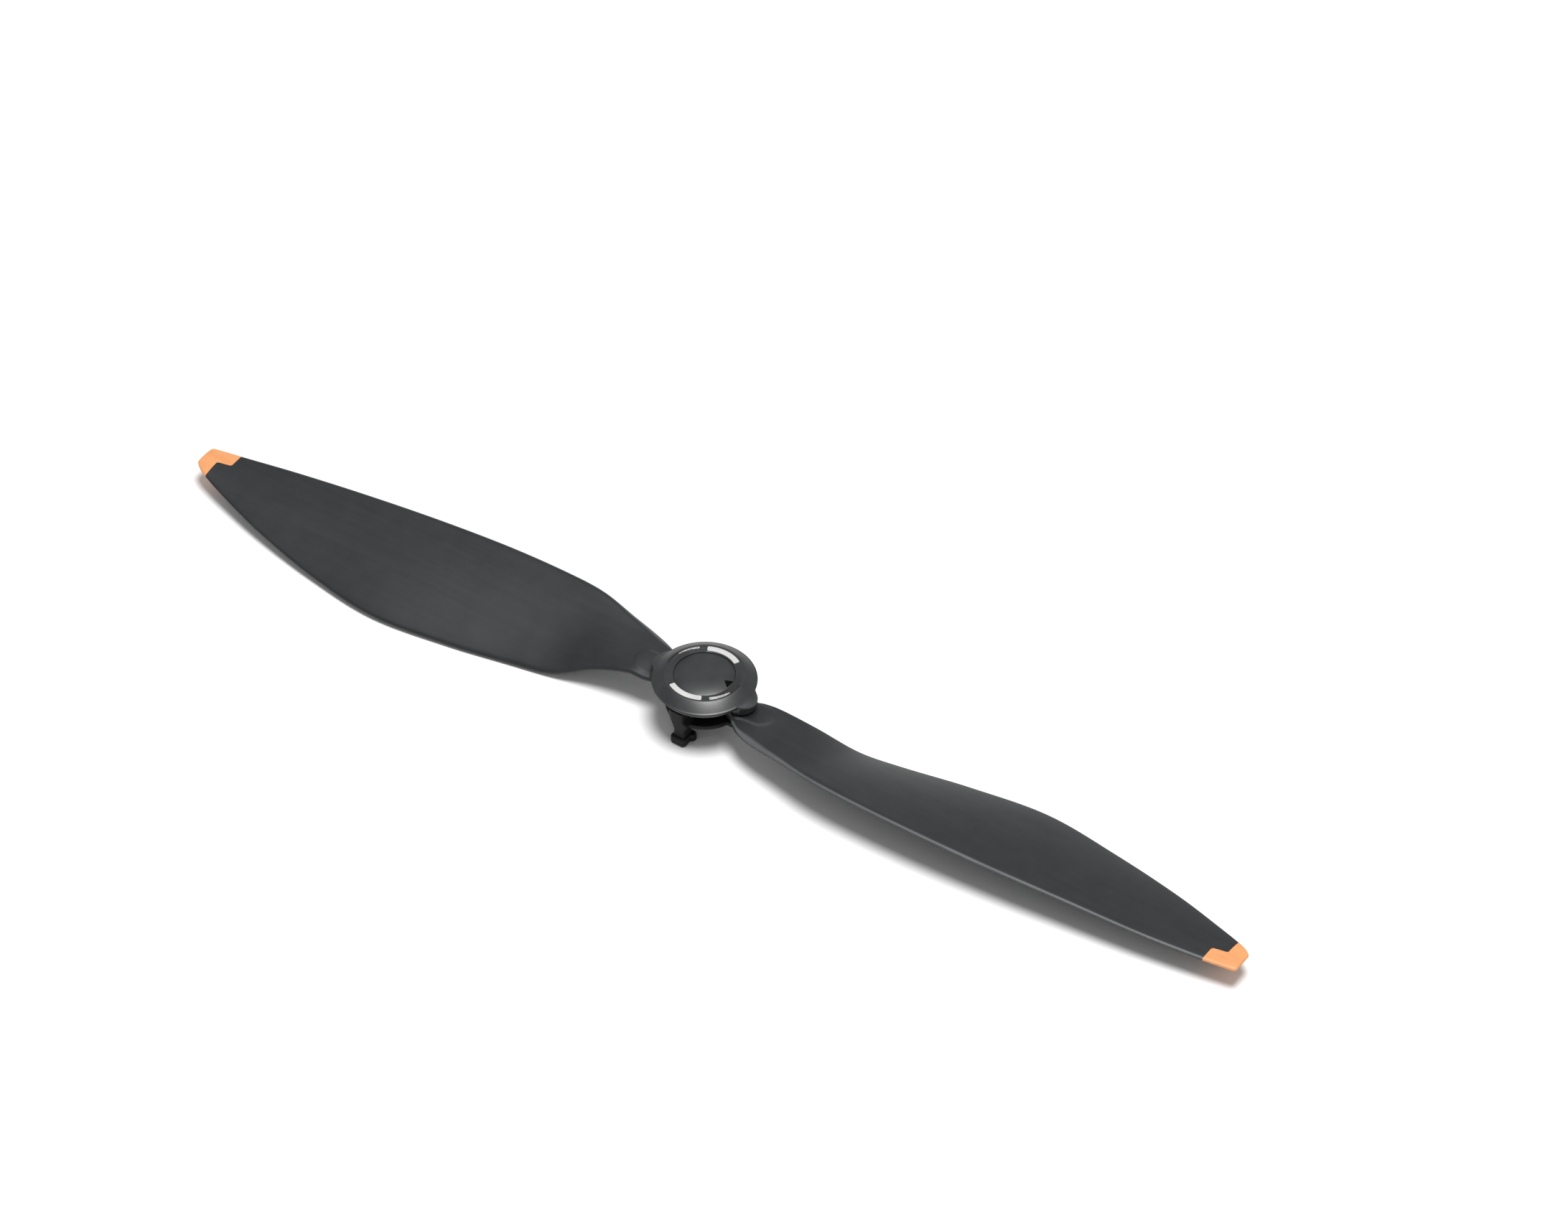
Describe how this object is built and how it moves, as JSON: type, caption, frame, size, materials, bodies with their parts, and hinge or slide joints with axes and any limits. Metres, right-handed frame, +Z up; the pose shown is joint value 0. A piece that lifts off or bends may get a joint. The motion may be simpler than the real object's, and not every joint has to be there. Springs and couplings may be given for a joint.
{
  "type": "folding propeller",
  "caption": "Folding two-blade propeller with a round bayonet hub, charcoal swept blades and orange tips, hinged at the blade roots.",
  "frame": {"origin": "on the spin axis, at the level of the claws' feet", "axes": "+Z up along the spin axis, towards the cap; +X along blade a; turns clockwise seen from above"},
  "size_m": [0.2388, 0.0278, 0.0121],
  "materials": {
    "hub_plastic": "fine satin texture",
    "blade_plastic": "fine grained matte",
    "orange_tip": "satin",
    "pale_mark": "satin",
    "gloss_trim": "polished",
    "arrow_black": "matte",
    "steel": "turned",
    "washer_polymer": "smooth"
  },
  "bodies": {
    "hub": {"hub_base": "hub_plastic", "hub_cap": "hub_plastic", "centre_disc": "hub_plastic", "colour_arc_near": "pale_mark", "colour_arc_far": "pale_mark", "gloss_arc_near": "gloss_trim", "gloss_arc_far": "gloss_trim", "release_arrow": "arrow_black", "motor_bushing": "steel", "pivot_screw_a": "steel", "lower_washer_a": "washer_polymer", "upper_washer_a": "washer_polymer", "pivot_screw_b": "steel", "lower_washer_b": "washer_polymer", "upper_washer_b": "washer_polymer"},
    "blade_arm_a": {"blade_a": "blade_plastic", "blade_tip_a": "orange_tip", "pivot_sleeve_a": "steel"},
    "blade_arm_b": {"blade_b": "blade_plastic", "blade_tip_b": "orange_tip", "pivot_sleeve_b": "steel"}
  },
  "joints": [
    {"name": "blade_a_fold", "type": "hinge", "parent": "hub", "child": "blade_arm_a", "pos_m": [0.0085, 0, 0.0067], "axis": [0, 0, 1], "range_deg": [-90, 90]},
    {"name": "blade_b_fold", "type": "hinge", "parent": "hub", "child": "blade_arm_b", "pos_m": [-0.0085, 0, 0.0067], "axis": [0, 0, 1], "range_deg": [-90, 90]}
  ]
}
